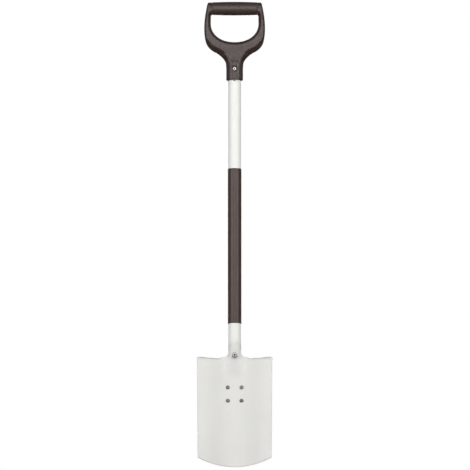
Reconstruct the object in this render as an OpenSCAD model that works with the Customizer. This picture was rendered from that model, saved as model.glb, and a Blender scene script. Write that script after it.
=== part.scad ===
// Digging spade: a dished blade riveted to a tube shaft, with a grip sleeve and a D-handle.
// Millimetres. Z runs up the shaft, the dished face of the blade looks towards -Y,
// and the blade's tip touches Z = 0. The origin is below the middle of the spade's depth.

/* [Overall] */
// Height from the blade's tip to the top of the crossbar
total_h = 1050; // [980:1:1120]
// Forward lean of the blade below the neck, in degrees
blade_lift = 6; // [4:0.5:8]
// Distance of the shaft's axis behind the origin
shaft_y = 14.5; // [12:0.5:17]

/* [Blade] */
// Length from the tip to the top of the treads
blade_len = 252; // [230:1:270]
// Width just below the treads
blade_w = 166.5; // [150:0.5:180]
// Width at the lower corners
blade_low_w = 164; // [148:0.5:178]
// How far each tread stands out sideways past the blade
tread_overhang = 1.1; // [0:0.1:3]
// Thickness of the sheet
sheet_t = 2; // [1.6:0.1:2.4]
// Radius of the dish across the front face
dish_r = 192; // [170:1:260]
// Height of the rounded lower edge, from corners to tip
tip_drop = 17.5; // [10:0.5:30]
// Outer radius of the tread's bend
tread_bend_r = 8; // [6:0.5:10]
// Angle through which the tread bends back, in degrees
tread_angle = 65; // [50:1:80]
// Flat width of the tread behind its bend
tread_flat = 8; // [4:0.5:14]

/* [Neck] */
// Height of the neck tongue above the treads
tongue_h = 28; // [22:1:40]
// Radius of the fillet between the neck tongue and each tread
neck_fillet_r = 14.4; // [10:0.1:20]
// Depth below the treads at which the neck's bulge has run out into the face
bulge_depth = 48; // [40:1:55]
// Height of the neck screw above the treads
neck_screw_h = 4; // [2:0.5:10]

/* [Shaft] */
// Outer diameter of the tube
tube_d = 28.2; // [26:0.1:32]
// Wall of the tube
tube_wall = 2; // [1.5:0.1:2.5]
// Diameter of the swaged stretch under the neck tongue
swage_d = 24; // [22:0.1:26]
// Width of the flattened tang
tang_w = 44; // [40:1:48]
// Depth of the tang's lower end below the treads
tang_depth = 114; // [108:1:130]

/* [Rivets] */
// Distance between rivets, both ways
rivet_pitch = 30.5; // [26:0.5:32]
// Depth of the upper rivets below the treads
rivet_row_depth = 69.5; // [64:0.5:74]
// Shank diameter of a rivet
rivet_d = 6; // [5:0.5:7]
// Head diameter of a rivet
rivet_head_d = 9; // [8:0.5:11]

/* [Grip sleeve] */
// Height of the sleeve's lower end
sleeve_z = 326.5; // [310:0.5:340]
// Length of the sleeve
sleeve_len = 348; // [300:0.5:380]
// Wall of the sleeve
sleeve_wall = 1; // [0.6:0.1:2]

/* [Handle] */
// Height of the D-handle from its socket's mouth to the top of the crossbar
handle_h = 177; // [170:1:190]
// Outer diameter of the socket
socket_d = 37; // [34:0.1:40]
// Diameter of the crossbar's grip in the middle
grip_d = 30.2; // [28:0.1:34]
// Diameter of the crossbar's grip at its ends
grip_end_d = 28; // [24:0.5:30]
// Length of the crossbar's grip
grip_len = 100; // [96:1:104]
// Diameter of the core inside the grip
grip_core_d = 16; // [12:1:20]
// Height of the handle screw above the socket's mouth
handle_screw_h = 24.5; // [20:0.5:30]

/* [Hidden] */

$fn = 96;
hull_fn = 32;
fit_gap = 0.05;

coat_white = [0.93, 0.93, 0.91];
plastic_brown = [0.36, 0.32, 0.31];
steel_grey = [0.55, 0.55, 0.54];
screw_silver = [0.78, 0.78, 0.77];
plug_black = [0.15, 0.15, 0.15];

// Neck point: where the shaft's axis meets the level of the treads
tang_t = 2 * tube_wall;
neck_z = blade_len * cos(blade_lift) - tang_t / 2 * sin(blade_lift);
dish_axis_y = -(dish_r + sheet_t + tang_t / 2);

// Tread: the whole height of its bend and flat, where it starts beside the neck,
// and how far it laps over the sheet below it
tread_h = tread_bend_r * sin(tread_angle) + tread_flat * cos(tread_angle);
tread_clear_x = 26.5;
tread_lap = 0.3;

// Neck
tongue_r = tube_d / 2;
swage_r = swage_d / 2;
neck_round_depth = 6;
swage_taper = 2;
slice_t = 0.4;
graze_gap = 0.1;
flat_inset = 0.15;
tang_lap = 2;
bulge_w = tang_w - 4;
web_trim = 1;

// Neck screw and rivet nut
screw_core_r = 2.55;
screw_hole_r = 3.1;
screw_head_r = 5.75;
screw_head_h = 3.2;
screw_hex_af = 4;
screw_hex_depth = 2;
screw_len = 17;
seat_r = 6.2;
seat_y = -tongue_r + 0.9;
nut_r = 4.4;
nut_len = 12;
nut_collar_r = 6;
nut_collar_t = 2;
nut_wall_gap = 2.2;

// Rivets and washers
rivet_head_h = 1.7;
rivet_tail_h = 1.8;
rivet_seat_gap = 0.06;
washer_r = 6;
washer_t = 1;
dish_back = dish_r + sheet_t;
tang_back = dish_back + tang_t;
rivet_grip = sheet_t + tang_t + washer_t;

// Handle, measured from the socket's mouth
socket_z = total_h - handle_h;
socket_r = socket_d / 2;
tube_top = 55;
bar_h = handle_h - grip_d / 2;
opening_half_w = 53;
opening_low_h = 86;
opening_round_h = 43;
opening_power = 2.15;
arm_top_h = 175.5;
grip_steps = 5;
bar_shoulder = 3.3;
recess_r = 6.2;
recess_y = -socket_r + 2.6;
handle_screw_r = 1.9;
handle_screw_hole_r = 2.2;
handle_screw_head_r = 3.9;
handle_screw_head_h = 2;
handle_screw_len = 20;
plug_len = 45;
plug_rim_t = 2;

// Points along one cubic curve, without its last point
function curve(a, b, c, d, steps = 12) = [
    for (i = [0 : steps - 1])
        let (t = i / steps, u = 1 - t)
        u * u * u * a + 3 * u * u * t * b + 3 * u * t * t * c + t * t * t * d
];

// A list of points with its mirror image across the Z axis behind it
function both_sides(points) = concat(
    points,
    [for (i = [len(points) - 1 : -1 : 0]) [-points[i][0], points[i][1]]]
);

// Lower half of the hand opening, a squared ellipse, from one side to the other
function opening_curve(steps = 32) = [
    for (i = [0 : steps])
        let (
            a = 180 * i / steps,
            across = pow(abs(cos(a)), 2 / opening_power) * sign(cos(a)),
            down = pow(sin(a), 2 / opening_power)
        )
        [opening_half_w * across, opening_low_h + opening_round_h * (1 - down)]
];

module on_shaft(height = 0) {
    translate([0, shaft_y, height])
        children();
}

module on_blade() {
    on_shaft(neck_z)
        rotate([-blade_lift, 0, 0])
            children();
}

// Stands children square on the dish at x and height z, with their Z axis pointing backwards
module on_dish(x, z, radius) {
    translate([0, dish_axis_y, z])
        rotate([0, 0, -asin(x / dish_r)])
            translate([0, radius, 0])
                rotate([-90, 0, 0])
                    children();
}

// Points children's Z axis backwards from the shaft's axis
module facing_back(y, z) {
    translate([0, y, z])
        rotate([-90, 0, 0])
            children();
}

// Turns an outline in X and Z into a slab that is deep enough to cut the whole blade
module front_slab(depth = 60) {
    rotate([90, 0, 0])
        linear_extrude(height = 2 * depth, center = true)
            children();
}

module dish_shell(inner, outer, low, high) {
    translate([0, dish_axis_y, low])
        difference() {
            cylinder(r = outer, h = high - low, $fn = 180);
            translate([0, 0, -1])
                cylinder(r = inner, h = high - low + 2, $fn = 180);
        }
}

module blade_outline() {
    corner_z = -blade_len + tip_drop;
    half_low = blade_low_w / 2;
    tip_r = (half_low * half_low + tip_drop * tip_drop) / (2 * tip_drop);
    tread_half = blade_w / 2 + tread_overhang;
    intersection() {
        translate([0, -blade_len + tip_r])
            circle(r = tip_r, $fn = 360);
        polygon([
            [-half_low, -blade_len - 1],
            [half_low, -blade_len - 1],
            [half_low, corner_z],
            [blade_w / 2, -tread_h - 1],
            [tread_half, -tread_h + 2],
            [tread_half, 1],
            [-tread_half, 1],
            [-tread_half, -tread_h + 2],
            [-blade_w / 2, -tread_h - 1],
            [-half_low, corner_z]
        ]);
    }
}

// Section of the sheet where the tread bends back, drawn as radius and height
module tread_section() {
    bend_x = dish_r + tread_bend_r;
    reach = 3 * tread_bend_r;
    intersection() {
        translate([bend_x, -tread_h])
            difference() {
                circle(r = tread_bend_r);
                circle(r = tread_bend_r - sheet_t);
            }
        polygon([
            [bend_x, -tread_h],
            [bend_x - reach, -tread_h],
            [bend_x - reach * cos(tread_angle), -tread_h + reach * sin(tread_angle)]
        ]);
    }
    translate([bend_x, -tread_h])
        rotate([0, 0, 180 - tread_angle])
            translate([tread_bend_r - sheet_t, -tread_flat])
                square([sheet_t, tread_flat + tread_lap]);
    translate([dish_r, -tread_h - tread_lap])
        square([sheet_t, 2 * tread_lap]);
}

module treads() {
    intersection() {
        translate([0, dish_axis_y, 0])
            rotate_extrude($fn = 180)
                tread_section();
        front_slab()
            difference() {
                blade_outline();
                square([2 * tread_clear_x, 3 * tread_h], center = true);
            }
    }
}

// Front outline of the web that fills the corners between the neck and the treads
module web_outline() {
    fillet_x = tongue_r + neck_fillet_r - web_trim / 2;
    difference() {
        translate([-fillet_x, -tread_h - 1])
            square([2 * fillet_x, tread_h + 1 + neck_fillet_r]);
        for (side = [-1, 1])
            translate([side * fillet_x, neck_fillet_r])
                circle(r = neck_fillet_r);
    }
}

// The sheet below the treads with its web, all in one dished surface
module dished_sheet() {
    intersection() {
        dish_shell(dish_r, dish_back, -blade_len - 1, neck_fillet_r - web_trim);
        front_slab()
            union() {
                intersection() {
                    blade_outline();
                    translate([-blade_w, -2 * blade_len - tread_h])
                        square([2 * blade_w, 2 * blade_len]);
                }
                web_outline();
            }
    }
}

// A form that is round at the neck and runs out flat at the bulge's lower end. Its round end
// stays a little inside the true cylinder above it, so that their surfaces don't graze.
module neck_form(r, flat_w, flat_front, flat_back, rise = slice_t) {
    hull() {
        translate([0, 0, -neck_round_depth])
            cylinder(r = r - graze_gap, h = rise, $fn = hull_fn);
        rotate([-blade_lift, 0, 0])
            translate([-flat_w / 2, flat_front, -bulge_depth])
                cube([flat_w, flat_back - flat_front, slice_t]);
    }
}

// The neck tongue: a half pipe round the front of the tube, and the bulge that runs out below it
module tongue() {
    inner_r = swage_r + fit_gap;
    front_y = tang_t / 2 + sheet_t;
    half_t = tang_t / 2 - flat_inset + fit_gap;
    rotate([0, 0, 180])
        rotate_extrude(angle = 180)
            translate([inner_r, -neck_round_depth])
                square([tongue_r - inner_r, neck_round_depth + tongue_h]);
    difference() {
        neck_form(tongue_r, bulge_w, -front_y + flat_inset, -front_y + sheet_t - flat_inset);
        neck_form(inner_r + 2 * graze_gap, tang_w + 2 * fit_gap, -half_t, half_t, 2 * slice_t);
        translate([-tube_d, -fit_gap, -2 * bulge_depth])
            cube([2 * tube_d, tube_d, 4 * bulge_depth]);
        rotate([-blade_lift, 0, 0])
            dish_shell(dish_back, dish_back + tang_t, -bulge_depth - 1, -bulge_depth + tang_lap + 1);
    }
}

module swage_form(grow) {
    translate([0, 0, -neck_round_depth])
        cylinder(r = swage_r + grow, h = neck_round_depth + tongue_h + grow);
    half_t = tang_t / 2 - flat_inset + grow;
    neck_form(swage_r + grow, tang_w + 2 * grow, -half_t, half_t);
}

module rivet_places() {
    for (column = [-1, 1])
        for (row = [0, 1])
            on_dish(column * rivet_pitch / 2, -rivet_row_depth - row * rivet_pitch, dish_r)
                children();
}

module rivet_holes(radius) {
    rivet_places()
        translate([0, 0, -5])
            cylinder(r = radius, h = 20);
}

module blade() {
    color(coat_white)
        on_shaft(neck_z)
            difference() {
                union() {
                    difference() {
                        rotate([-blade_lift, 0, 0])
                            dished_sheet();
                        swage_form(fit_gap);
                    }
                    rotate([-blade_lift, 0, 0])
                        treads();
                    tongue();
                }
                facing_back(-tube_d, neck_screw_h)
                    cylinder(r = screw_hole_r, h = tube_d);
                facing_back(-tube_d, neck_screw_h)
                    cylinder(r = seat_r, h = tube_d + seat_y);
                rotate([-blade_lift, 0, 0])
                    rivet_holes(rivet_d / 2 + fit_gap);
            }
}

module tang() {
    corner_r = 12;
    intersection() {
        dish_shell(dish_back + fit_gap, tang_back, -tang_depth, -bulge_depth + tang_lap);
        front_slab()
            union() {
                translate([-tang_w / 2, -tang_depth + corner_r])
                    square([tang_w, tang_depth]);
                for (side = [-1, 1])
                    translate([side * (tang_w / 2 - corner_r), -tang_depth + corner_r])
                        circle(r = corner_r);
                translate([-tang_w / 2 + corner_r, -tang_depth])
                    square([tang_w - 2 * corner_r, corner_r]);
            }
    }
}

// Wall of the round stretch, drawn as radius and height above the treads
module tube_section() {
    bore_r = tube_d / 2 - tube_wall;
    swage_bore_r = swage_r - tube_wall;
    top = socket_z + tube_top - neck_z;
    polygon([
        [swage_r, -neck_round_depth],
        [swage_r, tongue_h],
        [tongue_r, tongue_h + swage_taper],
        [tongue_r, top],
        [bore_r, top],
        [bore_r, tongue_h + swage_taper],
        [swage_bore_r, tongue_h],
        [swage_bore_r, -neck_round_depth]
    ]);
}

// The tube's end between its round stretch and the tang, pressed flat by degrees
module flattened_end() {
    difference() {
        neck_form(swage_r, tang_w, -tang_t / 2 + flat_inset, tang_t / 2 - flat_inset);
        hull() {
            translate([0, 0, -neck_round_depth])
                cylinder(r = swage_r - tube_wall - graze_gap, h = 2 * slice_t, $fn = hull_fn);
            rotate([-blade_lift, 0, 0])
                translate([-tang_w / 2 + tang_t, -slice_t / 2, -bulge_depth + tang_t])
                    cube([tang_w - 2 * tang_t, slice_t, slice_t]);
        }
    }
}

module shaft_tube() {
    color(coat_white)
        on_shaft(neck_z)
            difference() {
                union() {
                    rotate_extrude()
                        tube_section();
                    flattened_end();
                    rotate([-blade_lift, 0, 0])
                        tang();
                }
                facing_back(-tube_d, neck_screw_h)
                    cylinder(r = nut_r + fit_gap, h = tube_d);
                facing_back(-tube_d, socket_z - neck_z + handle_screw_h)
                    cylinder(r = handle_screw_hole_r, h = tube_d);
                rotate([-blade_lift, 0, 0])
                    rivet_holes(rivet_d / 2 + fit_gap);
            }
}

// Low domed disc of the given radius and height, flat side on Z = 0
module dome(radius, height) {
    ball_r = (radius * radius + height * height) / (2 * height);
    rotate_extrude()
        intersection() {
            translate([0, height - ball_r])
                circle(r = ball_r);
            square([radius, height]);
        }
}

module rivet() {
    translate([0, 0, -rivet_seat_gap])
        cylinder(d = rivet_d, h = rivet_seat_gap + rivet_grip + fit_gap);
    translate([0, 0, -rivet_seat_gap])
        mirror([0, 0, 1])
            dome(rivet_head_d / 2, rivet_head_h);
    translate([0, 0, rivet_grip + fit_gap])
        dome(rivet_head_d / 2, rivet_tail_h);
}

module washer() {
    translate([0, 0, sheet_t + tang_t + fit_gap])
        difference() {
            cylinder(r = washer_r, h = washer_t);
            translate([0, 0, -1])
                cylinder(r = rivet_d / 2 + fit_gap, h = washer_t + 2);
        }
}

// Rivets are numbered from the upper left, row by row
module at_rivet(index) {
    column = index % 2 == 1 ? -1 : 1;
    row = index > 2 ? 1 : 0;
    on_blade()
        on_dish(column * rivet_pitch / 2, -rivet_row_depth - row * rivet_pitch, dish_r)
            children();
}

module blade_rivet(index) {
    color(steel_grey)
        at_rivet(index)
            rivet();
}

module rivet_washer(index) {
    color(steel_grey)
        at_rivet(index)
            washer();
}

module neck_screw() {
    color(screw_silver)
        on_shaft(neck_z + neck_screw_h)
            facing_back(seat_y, 0)
                difference() {
                    union() {
                        mirror([0, 0, 1])
                            dome(screw_head_r, screw_head_h);
                        cylinder(r = screw_core_r, h = screw_len);
                    }
                    translate([0, 0, -screw_head_h - 1])
                        cylinder(r = screw_hex_af / sqrt(3), h = screw_hex_depth + 1, $fn = 6);
                }
}

module neck_rivet_nut() {
    color(steel_grey)
        on_shaft(neck_z + neck_screw_h)
            facing_back(-swage_r + 0.8, 0)
                difference() {
                    union() {
                        cylinder(r = nut_r, h = nut_len);
                        translate([0, 0, tube_wall + nut_wall_gap - 0.8])
                            cylinder(r = nut_collar_r, h = nut_collar_t);
                    }
                    translate([0, 0, -1])
                        cylinder(r = screw_core_r + fit_gap, h = nut_len + 2);
                }
}

module grip_sleeve() {
    inner_r = tube_d / 2 + fit_gap;
    outer_r = tube_d / 2 + sleeve_wall;
    lip = sleeve_wall / 2;
    color(plastic_brown)
        on_shaft(sleeve_z)
            rotate_extrude()
                polygon([
                    [inner_r, 0],
                    [outer_r - lip, 0],
                    [outer_r, lip],
                    [outer_r, sleeve_len - lip],
                    [outer_r - lip, sleeve_len],
                    [inner_r, sleeve_len]
                ]);
}

// Front outline of arms and throat, from the crossbar down to the socket
module handle_outline() {
    side = curve([60, 172.5], [66, 149], [70.6, 117], [64.9, 90.5]);
    corner = curve([64.9, 90.5], [63.2, 79], [55.6, 69.3], [43.2, 63.2]);
    throat = curve([43.2, 63.2], [33, 58.2], [21.3, 48], [socket_r, 34]);
    top = [[grip_len / 2 - 1, arm_top_h], [57, arm_top_h]];
    polygon(both_sides(concat(top, side, corner, throat, [[socket_r, 32]])));
}

// Half of the depth at each height, seen from the side
module handle_side() {
    polygon(both_sides([
        [socket_r, 32],
        [socket_r, 42],
        [14.5, 62],
        [11.5, 82],
        [11, 123],
        [12.5, 148],
        [12.5, arm_top_h - 4],
        [9.5, arm_top_h]
    ]));
}

module hand_opening() {
    grip_gap = grip_len / 2 + fit_gap;
    polygon(concat(
        opening_curve(),
        [
            [-opening_half_w, bar_h - grip_end_d / 2 - bar_shoulder],
            [-grip_gap, bar_h - grip_end_d / 2],
            [-grip_gap, handle_h],
            [grip_gap, handle_h],
            [grip_gap, bar_h - grip_end_d / 2],
            [opening_half_w, bar_h - grip_end_d / 2 - bar_shoulder]
        ]
    ));
}

module handle_frame() {
    color(plastic_brown)
        on_shaft(socket_z)
            difference() {
                union() {
                    cylinder(r = socket_r, h = 38);
                    intersection() {
                        front_slab()
                            difference() {
                                handle_outline();
                                hand_opening();
                            }
                        rotate([90, 0, 90])
                            linear_extrude(height = 160, center = true)
                                handle_side();
                    }
                    translate([0, 0, bar_h])
                        rotate([0, 90, 0])
                            cylinder(d = grip_core_d, h = grip_len + 4, center = true);
                }
                translate([0, 0, -1])
                    cylinder(r = tube_d / 2 + fit_gap, h = tube_top + plug_rim_t + 1 + fit_gap);
                facing_back(-2 * socket_r, handle_screw_h)
                    cylinder(r = recess_r, h = 2 * socket_r + recess_y);
                facing_back(-2 * socket_r, handle_screw_h)
                    cylinder(r = handle_screw_hole_r, h = 2 * socket_r);
            }
}

module handle_grip() {
    crown = (grip_d - grip_end_d) / 2;
    half = grip_len / 2;
    inner_r = grip_core_d / 2 + fit_gap;
    color(plastic_brown)
        on_shaft(socket_z + bar_h)
            rotate([0, 90, 0])
                rotate_extrude()
                    polygon(concat(
                        [[inner_r, half], [inner_r, -half]],
                        [
                            for (i = [-grip_steps : grip_steps])
                                let (t = i / grip_steps)
                                [grip_d / 2 - crown * t * t, half * t]
                        ]
                    ));
}

module handle_screw() {
    color(screw_silver)
        on_shaft(socket_z + handle_screw_h)
            facing_back(recess_y, 0)
                difference() {
                    union() {
                        mirror([0, 0, 1])
                            dome(handle_screw_head_r, handle_screw_head_h);
                        cylinder(r = handle_screw_r, h = handle_screw_len);
                    }
                    for (turn = [0, 90])
                        rotate([0, 0, turn])
                            translate([-2, -0.5, -handle_screw_head_h - 1])
                                cube([4, 1, 2]);
                }
}

module tube_plug() {
    plug_r = tube_d / 2 - tube_wall - fit_gap;
    color(plug_black)
        on_shaft(socket_z + tube_top)
            difference() {
                union() {
                    translate([0, 0, -plug_len])
                        cylinder(r = plug_r, h = plug_len);
                    cylinder(d = tube_d, h = plug_rim_t);
                }
                facing_back(-tube_d, handle_screw_h - tube_top)
                    cylinder(r = handle_screw_r + fit_gap, h = tube_d + 8);
            }
}

blade();
shaft_tube();
neck_screw();
neck_rivet_nut();
grip_sleeve();
blade_rivet(1);  // blade_rivet_1
blade_rivet(2);  // blade_rivet_2
blade_rivet(3);  // blade_rivet_3
blade_rivet(4);  // blade_rivet_4
rivet_washer(1);  // rivet_washer_1
rivet_washer(2);  // rivet_washer_2
rivet_washer(3);  // rivet_washer_3
rivet_washer(4);  // rivet_washer_4
handle_frame();
handle_grip();
handle_screw();
tube_plug();
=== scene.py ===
# A digging spade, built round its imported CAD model. Lengths in this file are millimetres
# until put_in() turns them into the frame's metres.
import math

import bpy
import numpy as np
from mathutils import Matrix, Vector
from mathutils.geometry import delaunay_2d_cdt


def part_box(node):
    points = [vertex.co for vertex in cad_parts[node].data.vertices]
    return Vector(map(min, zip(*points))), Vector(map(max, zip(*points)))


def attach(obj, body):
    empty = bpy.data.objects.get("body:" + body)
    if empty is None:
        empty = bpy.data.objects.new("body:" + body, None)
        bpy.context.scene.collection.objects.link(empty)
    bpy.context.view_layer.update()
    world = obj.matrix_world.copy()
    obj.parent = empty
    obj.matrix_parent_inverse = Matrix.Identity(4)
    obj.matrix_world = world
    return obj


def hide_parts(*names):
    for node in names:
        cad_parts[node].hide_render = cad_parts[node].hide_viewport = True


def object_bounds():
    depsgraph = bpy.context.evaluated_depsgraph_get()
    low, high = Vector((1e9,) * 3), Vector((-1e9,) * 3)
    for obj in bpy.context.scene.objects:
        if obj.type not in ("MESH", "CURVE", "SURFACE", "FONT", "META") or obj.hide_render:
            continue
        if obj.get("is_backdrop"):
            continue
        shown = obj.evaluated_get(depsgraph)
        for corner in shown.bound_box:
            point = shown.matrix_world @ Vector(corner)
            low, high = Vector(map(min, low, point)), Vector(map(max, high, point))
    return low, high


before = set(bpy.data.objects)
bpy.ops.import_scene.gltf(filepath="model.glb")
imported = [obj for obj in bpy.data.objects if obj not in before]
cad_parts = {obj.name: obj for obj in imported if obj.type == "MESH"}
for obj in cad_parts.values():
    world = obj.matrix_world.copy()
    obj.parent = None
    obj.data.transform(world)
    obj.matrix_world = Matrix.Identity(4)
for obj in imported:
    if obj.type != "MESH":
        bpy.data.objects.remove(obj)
cad_low, cad_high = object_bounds()
scene = bpy.context.scene
MM = 0.001


# ---------------------------------------------------------------- places, from the frame
def node_box(node):
    low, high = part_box(node)
    return np.array(low) / MM, np.array(high) / MM


def node_middle(node):
    low, high = node_box(node)
    return (low + high) / 2


SHAFT_Y = node_middle("grip_sleeve")[1]
TUBE_R = np.ptp(np.array(node_box("tube_plug")), axis=0)[0] / 2
SLEEVE_R = np.ptp(np.array(node_box("grip_sleeve")), axis=0)[0] / 2
SLEEVE_LOW = node_box("grip_sleeve")[0][2]
SLEEVE_HIGH = node_box("grip_sleeve")[1][2]
# The D-handle's heights count from a level this far below its socket's mouth
MOUTH = 2.0
SOCKET_Z = node_box("handle_frame")[0][2] - MOUTH
TUBE_TOP = node_box("shaft_tube")[1][2]
BAR_Z = node_middle("handle_grip")[2]
# The neck point, where the shaft's axis meets the level of the treads, lies this far below the neck screw
NECK_SCREW_RISE = 4.0
NECK_Z = node_middle("neck_screw")[2] - NECK_SCREW_RISE

# ---------------------------------------------------------------- the spade's own measures
# How far the blade leans forwards
LIFT = math.radians(6.0)
SHEET_T = 2.0
DISH_R = 193.0
DISH_AXIS_Y = -196.0
BLADE_LEN = 252.0
BLADE_HALF_TOP = 83.25
BLADE_HALF_LOW = 82.0
TREAD_HALF = 84.35
TIP_DROP = 17.5
TREAD_ANGLE = math.radians(65.0)
TREAD_R = 7.0
TREAD_H = 10.63
TONGUE_H = 28.0
FILLET_R = 14.4
PIPE_R = TUBE_R - SHEET_T / 2
SWAGE_R = 12.0
TANG_HALF_W = 22.0
TANG_HALF_T = 1.98
TANG_R = 196.0
TANG_DEPTH = 114.0
TANG_CORNER_R = 12.0
# Heights about the neck point between which the neck's bulge rises, and between which it comes upright
BULGE_LOW, BULGE_HIGH = -56, 22
UPRIGHT_LOW, UPRIGHT_HIGH = -30, 8


def smoothstep(low, high, value):
    t = np.clip((np.asarray(value, float) - low) / (high - low), 0, 1)
    return t * t * (3 - 2 * t)


def neck_share(v):
    """How far the neck's bulge has risen at distance v along the sheet."""
    return smoothstep(BULGE_LOW, BULGE_HIGH, v)


def upright_share(v):
    """How far the sheet has turned from the blade's lean to the shaft's direction, at distance v."""
    return smoothstep(UPRIGHT_LOW, UPRIGHT_HIGH, v)


# ---------------------------------------------------------------- making pieces
def put_in(name, points, faces, material, stands_for=(), sharp=None):
    """Makes one piece from points in millimetres, and puts it on the spade's body."""
    mesh = bpy.data.meshes.new(name)
    mesh.from_pydata((np.asarray(points, float) * MM).tolist(), [], [list(f) for f in faces])
    mesh.validate()
    mesh.shade_smooth()
    if sharp:
        mesh.set_sharp_from_angle(angle=math.radians(sharp))
    mesh.materials.append(material)
    piece = bpy.data.objects.new(name, mesh)
    scene.collection.objects.link(piece)
    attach(piece, "root")
    if stands_for:
        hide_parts(*stands_for)
    return piece


def rings(loops, closed=False):
    """Faces between successive loops of equally many points; closed joins the last to the first."""
    faces = []
    n = len(loops[0])
    count = len(loops)
    for i in range(count if closed else count - 1):
        a, b = i * n, (i + 1) % count * n
        faces += [(a + j, a + (j + 1) % n, b + (j + 1) % n, b + j) for j in range(n)]
    return np.concatenate(loops), faces


def capped(points, faces, ends):
    """Closes the loops that start at the given points with fans round their middles."""
    points = list(map(np.asarray, points))
    for start, n, flip in ends:
        middle = np.mean(points[start:start + n], axis=0)
        points.append(middle)
        for j in range(n):
            a, b = start + j, start + (j + 1) % n
            faces.append((b, a, len(points) - 1) if flip else (a, b, len(points) - 1))
    return np.array(points), faces


def turned(profile, steps=96):
    """A closed solid about Z from rows of radius and height, and a form where the loop isn't round.

    A profile that starts and ends on the axis is closed there; another is closed on itself.
    """
    angles = np.linspace(0, 2 * np.pi, steps, endpoint=False)
    on_axis = profile[0][0] < 1e-9 and profile[-1][0] < 1e-9
    body = profile[1:-1] if on_axis else profile
    loops = []
    for r, z, *form in body:
        around = r * form[0](angles) if form else np.full(steps, float(r))
        loops.append(np.stack([around * np.cos(angles), around * np.sin(angles), np.full(steps, z)], 1))
    points, faces = rings(loops, closed=not on_axis)
    if on_axis:
        points = np.vstack([points, [[0, 0, profile[0][1]], [0, 0, profile[-1][1]]]])
        first, last = len(points) - 2, len(points) - 1
        top = (len(body) - 1) * steps
        for j in range(steps):
            k = (j + 1) % steps
            faces.append((k, j, first))
            faces.append((top + j, top + k, last))
    return points, faces


def round_corners(profile, radii, steps=5):
    """A closed profile whose corners are rounded by arcs of the given radii."""
    profile = [np.array(p, float) for p in profile]
    out = []
    n = len(profile)
    for i, (corner, radius) in enumerate(zip(profile, radii)):
        if radius <= 0:
            out.append(corner)
            continue
        to_last = profile[i - 1] - corner
        to_next = profile[(i + 1) % n] - corner
        to_last /= np.linalg.norm(to_last)
        to_next /= np.linalg.norm(to_next)
        half = math.acos(np.clip(to_last @ to_next, -1, 1)) / 2
        start = corner + to_last * radius / math.tan(half)
        centre = corner + (to_last + to_next) / np.linalg.norm(to_last + to_next) * radius / math.sin(half)
        end = corner + to_next * radius / math.tan(half)
        a, b = start - centre, end - centre
        angle = math.acos(np.clip(a @ b / radius**2, -1, 1))
        for k in range(steps + 1):
            t = k / steps
            out.append(centre + (math.sin((1 - t) * angle) * a + math.sin(t * angle) * b) / math.sin(angle))
    return out


def outward(points, faces):
    """Turns the faces over if the solid is inside out."""
    points = np.asarray(points, float)
    volume = 0.0
    for f in faces:
        for k in range(1, len(f) - 1):
            volume += points[f[0]] @ np.cross(points[f[k]], points[f[k + 1]])
    return faces if volume > 0 else [tuple(reversed(f)) for f in faces]


def facing_front(points, y, z):
    """Lays a solid made about +Z so that its axis points out of the front, at the given place."""
    p = np.asarray(points, float)
    return np.stack([p[:, 0], y - p[:, 2], z + p[:, 1]], 1)


# ---------------------------------------------------------------- materials
def nodes_for(name):
    material = bpy.data.materials.new(name)
    material.use_nodes = True
    tree = material.node_tree
    shader = tree.nodes["Principled BSDF"]
    return material, tree, shader


def noise(tree, scale, detail=3.0, roughness=0.5):
    """Noise in the row frame, with the given number of cells per metre."""
    coords = tree.nodes.new("ShaderNodeTexCoord")
    texture = tree.nodes.new("ShaderNodeTexNoise")
    texture.inputs["Scale"].default_value = scale
    texture.inputs["Detail"].default_value = detail
    texture.inputs["Roughness"].default_value = roughness
    tree.links.new(coords.outputs["Object"], texture.inputs["Vector"])
    return texture.outputs["Fac"]


def spread(tree, value, low, high, from_low=0.3, from_high=0.7):
    """Maps a value from one range onto another; the middle part of a noise's range if none is given."""
    node = tree.nodes.new("ShaderNodeMapRange")
    node.inputs["From Min"].default_value = from_low
    node.inputs["From Max"].default_value = from_high
    node.inputs["To Min"].default_value = low
    node.inputs["To Max"].default_value = high
    tree.links.new(value, node.inputs["Value"])
    return node.outputs["Result"]


def tint(tree, value, low, high):
    """A colour between two, by a noise value."""
    node = tree.nodes.new("ShaderNodeMix")
    node.data_type = "RGBA"
    node.inputs["A"].default_value = (*low, 1)
    node.inputs["B"].default_value = (*high, 1)
    tree.links.new(value, node.inputs["Factor"])
    return node.outputs["Result"]


def bump(tree, shader, layers):
    """Stacks bump layers of (height value, depth in metres)."""
    last = None
    for value, depth in layers:
        node = tree.nodes.new("ShaderNodeBump")
        node.inputs["Strength"].default_value = 1.0
        node.inputs["Distance"].default_value = depth
        tree.links.new(value, node.inputs["Height"])
        if last is not None:
            tree.links.new(last, node.inputs["Normal"])
        last = node.outputs["Normal"]
    tree.links.new(last, shader.inputs["Normal"])


def clouded(name, light, dark, cloud, rough, rough_by, rough_cells, rough_detail=3.0):
    """A material whose colour follows a cloud of noise and whose gloss drifts.

    The cloud is a scale, a detail and perhaps a roughness.
    """
    material, tree, shader = nodes_for(name)
    tree.links.new(
        tint(tree, spread(tree, noise(tree, *cloud), 0, 1), dark, light), shader.inputs["Base Color"]
    )
    gloss = noise(tree, rough_cells, rough_detail)
    tree.links.new(spread(tree, gloss, rough - rough_by, rough + rough_by), shader.inputs["Roughness"])
    return material, tree, shader


def powder_coat(name, light, dark, rough):
    """Satin powder coat: orange peel about a millimetre across, with finer grain on it."""
    material, tree, shader = clouded(name, light, dark, (14, 2.0), rough, 0.05, 120)
    shader.inputs["Specular IOR Level"].default_value = 0.5
    bump(tree, shader, [(noise(tree, 900, 2.0), 0.00004), (noise(tree, 3200, 2.0), 0.000008)])
    return material


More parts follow.
